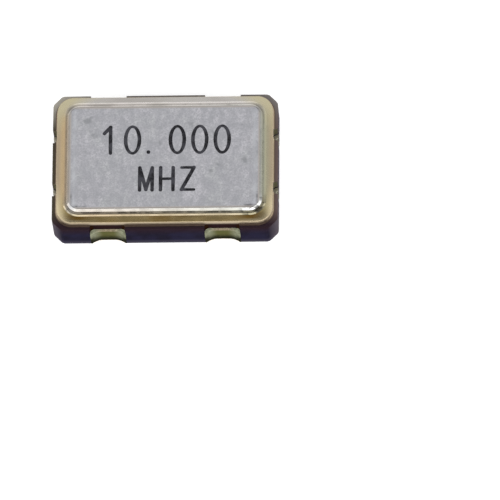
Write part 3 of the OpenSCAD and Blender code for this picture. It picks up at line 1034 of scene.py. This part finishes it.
def addSign(sign, corner, width, height):
    stroke, bar = markingSet["stroke"], markingSet["bar"]
    bottom, top = lidHigh.z - markingSet["sunk"], lidHigh.z + markingSet["proud"]
    left, low = corner[0] + stroke / 2, corner[1] + stroke / 2
    innerWidth, innerHeight = width - stroke, height - stroke
    if signs[sign] == ["oval"]:
        middle = (left + innerWidth / 2, low + innerHeight / 2)
        ring = addOval(middle, width, height, bottom, top)
        combine(ring, addOval(middle, width - 2 * stroke, height - 2 * bar, under, over))
        return ring
    if signs[sign] == ["dot"]:
        shift = markingSet["dotShift"]
        return addOval((left + shift[0], low + shift[1]), markingSet["dot"], markingSet["dot"], bottom, top)
    strokes = [addStroke((left + a[0] * innerWidth, low + a[1] * innerHeight),
                         (left + b[0] * innerWidth, low + b[1] * innerHeight),
                         bar if a[1] == b[1] else stroke, bottom, top) for a, b in signs[sign]]
    for extra in strokes[1:]:
        combine(strokes[0], extra, "UNION")
    return strokes[0]


def makeMarking():
    made = []
    for line in ("upper", "lower"):
        start, (width, height, pitch) = markingSet[f"{line}Start"], markingSet[f"{line}Cell"]
        for place, sign in enumerate(markingSet[line]):
            made.append(addSign(sign, (start[0] + place * pitch, start[1]), width, height))
    marking = joinPieces(made)
    marking.name = "lidMarking"
    dress(marking, makeMarkingInk())
    finishPiece(marking)


makeMarking()


# Inner pieces, whose shapes stay as they are

def makeQuartz():
    finish = Finish("lappedQuartz", 0)
    grain = finish.group(grainGroup, Size=34, Depth=0.002)
    finish.use("Base Color", finish.mix(grain.outputs["Tone"], paint(232, 240, 244), paint(244, 248, 250)))
    finish.texture(grain, 0.18, 0.3)
    finish.shader.inputs["Transmission Weight"].default_value = 0.85
    finish.shader.inputs["IOR"].default_value = 1.55
    return finish


# An inner finish: two tones, a roughness and a grain
def makeInner(name, metallic, first, second, roughness, size, depth):
    finish = Finish(name, metallic)
    grain = finish.group(grainGroup, Size=size, Depth=depth)
    finish.use("Base Color", finish.mix(grain.outputs["Tone"], first, second))
    finish.texture(grain, roughness, roughness + 0.1)
    return finish


innerGold = makeInner("innerGold", 1, paint(222, 190, 128), paint(236, 206, 142), 0.35, 30, 0.003)
silverGlue = makeInner("silverGlue", 0.6, paint(168, 166, 160), paint(196, 194, 188), 0.5, 40, 0.006)
chipSilicon = makeInner("chipSilicon", 0.4, paint(74, 78, 92), paint(92, 96, 112), 0.2, 20, 0.001)
chipMetal = makeInner("chipMetal", 1, paint(205, 206, 208), paint(222, 222, 224), 0.25, 30, 0.002)
wireGold = makeInner("wireGold", 1, paint(236, 198, 110), paint(246, 212, 128), 0.2, 40, 0.001)
electrodeSilver = makeInner("electrodeSilver", 1, paint(206, 208, 210), paint(220, 222, 224), 0.25, 24,
                            0.001)
innerFinishes = {
    "die_land": innerGold,
    "die_attach": silverGlue,
    "oscillator_chip": chipSilicon,
    "chip_pads": chipMetal,
    "quartz_blank": makeQuartz(),
    "electrode_top": electrodeSilver,
    "electrode_bottom": electrodeSilver,
}
for number in range(1, 7):
    innerFinishes[f"bond_finger_{number}"] = innerGold
    innerFinishes[f"bond_wire_{number}"] = wireGold
for number in (1, 2):
    innerFinishes[f"crystal_land_{number}"] = innerGold
    innerFinishes[f"adhesive_dot_{number}"] = silverGlue
for name, finish in innerFinishes.items():
    dress(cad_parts[name], finish)
print("dressed", len(innerFinishes), "inner pieces")


# Floor, light and camera

floorSet = {
    "size": 1.2,
    "depth": 0.00001,
    "tone": 0.93,
    "roughness": 0.9,
    "glow": 0.42,
}


# White paper, which glows a little where it is seen straight on, in a reflection or through something
def makeFloor():
    freshStart()
    bpy.ops.mesh.primitive_plane_add(size=floorSet["size"], location=(0, 0, -floorSet["depth"]))
    floor = bpy.context.object
    floor.name = "floor"
    settle()
    paper = bpy.data.materials.new("whitePaper")
    paper.use_nodes = True
    nodes, links = paper.node_tree.nodes, paper.node_tree.links
    shader = nodes["Principled BSDF"]
    shader.inputs["Base Color"].default_value = (*[floorSet["tone"]] * 3, 1)
    shader.inputs["Roughness"].default_value = floorSet["roughness"]
    shader.inputs["Specular IOR Level"].default_value = 0
    rays = nodes.new("ShaderNodeLightPath")
    last = rays.outputs["Is Camera Ray"]
    for operation, other in (("MAXIMUM", rays.outputs["Is Glossy Ray"]),
                             ("MAXIMUM", rays.outputs["Is Transmission Ray"]), ("MULTIPLY", None)):
        step = nodes.new("ShaderNodeMath")
        step.operation = operation
        step.inputs[1].default_value = floorSet["glow"]
        links.new(last, step.inputs[0])
        if other:
            links.new(other, step.inputs[1])
        last = step.outputs["Value"]
    shader.inputs["Emission Color"].default_value = (1, 1, 1, 1)
    links.new(last, shader.inputs["Emission Strength"])
    floor.data.materials.append(paper)


lightSet = {
    "tent": 0.85,
    "openingTone": 0.2,
    "openingInner": 12,
    "openingOuter": 24,
    "lampSize": (0.36, 0.18),
    "lampDistance": 0.3,
    # Name, elevation, azimuth and level of each
    "lamps": (("frontLamp", 35, 0, 1.7), ("sideLamp", 22, -62, 1.5), ("sideLamp", 22, 62, 1.5)),
}


# An even tent of light with a dark opening overhead, where the camera looks in
def makeWorld():
    world = bpy.data.worlds.new("lightTent")
    bpy.context.scene.world = world
    world.use_nodes = True
    nodes, links = world.node_tree.nodes, world.node_tree.links
    background = nodes["Background"]
    background.inputs["Color"].default_value = (1, 1, 1, 1)
    direction = nodes.new("ShaderNodeTexCoord")
    opening = nodes.new("ShaderNodeVectorMath")
    opening.operation = "DOT_PRODUCT"
    opening.inputs[1].default_value = (0, 0, 1)
    links.new(direction.outputs["Generated"], opening.inputs[0])
    fade = nodes.new("ShaderNodeMapRange")
    fade.interpolation_type = "SMOOTHSTEP"
    fade.inputs["From Min"].default_value = math.cos(math.radians(lightSet["openingOuter"]))
    fade.inputs["From Max"].default_value = math.cos(math.radians(lightSet["openingInner"]))
    fade.inputs["To Min"].default_value = lightSet["tent"]
    fade.inputs["To Max"].default_value = lightSet["openingTone"]
    links.new(opening.outputs["Value"], fade.inputs["Value"])
    links.new(fade.outputs["Result"], background.inputs["Strength"])


def addLamp(name, elevation, azimuth, level):
    freshStart()
    lift, turn = math.radians(elevation), math.radians(azimuth)
    away = Vector((math.sin(turn) * math.cos(lift), -math.cos(turn) * math.cos(lift), math.sin(lift)))
    bpy.ops.object.light_add(type="AREA", location=away * lightSet["lampDistance"])
    lamp = bpy.context.object
    lamp.name = name
    lamp.rotation_euler = away.to_track_quat("Z", "Y").to_euler()
    lamp.data.shape = "RECTANGLE"
    width, height = lightSet["lampSize"]
    lamp.data.size, lamp.data.size_y = width, height
    lamp.data.energy = level * math.pi * width * height
    lamp.visible_camera = False


cameraSet = {
    "aim": (1.846, -1.677, -0.281),
    "azimuth": 6.50,
    "elevation": 68.40,
    "roll": -6.62,
    "distance": 180,
    "lens": 583.9,
    "clip": (0.01, 10),
}


def makeCamera():
    freshStart()
    turn, lift, roll = (math.radians(cameraSet[key]) for key in ("azimuth", "elevation", "roll"))
    back = Vector((math.sin(turn) * math.cos(lift), -math.cos(turn) * math.cos(lift), math.sin(lift)))
    level = Vector((math.cos(turn), math.sin(turn), 0))
    rise = back.cross(level)
    right = math.cos(roll) * level + math.sin(roll) * rise
    top = back.cross(right)
    place = (Vector(cameraSet["aim"]) + back * cameraSet["distance"]) * millimetre
    data = bpy.data.cameras.new("camera")
    data.lens = cameraSet["lens"]
    data.clip_start, data.clip_end = cameraSet["clip"]
    camera = bpy.data.objects.new("camera", data)
    bpy.context.scene.collection.objects.link(camera)
    camera.matrix_world = Matrix.Translation(place) @ Matrix((right, top, back)).transposed().to_4x4()
    bpy.context.scene.camera = camera


makeFloor()
makeWorld()
for lamp in lightSet["lamps"]:
    addLamp(*lamp)
makeCamera()
bpy.context.scene.view_settings.view_transform = "Standard"
print("set the floor, light and camera")

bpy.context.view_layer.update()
freshStart()
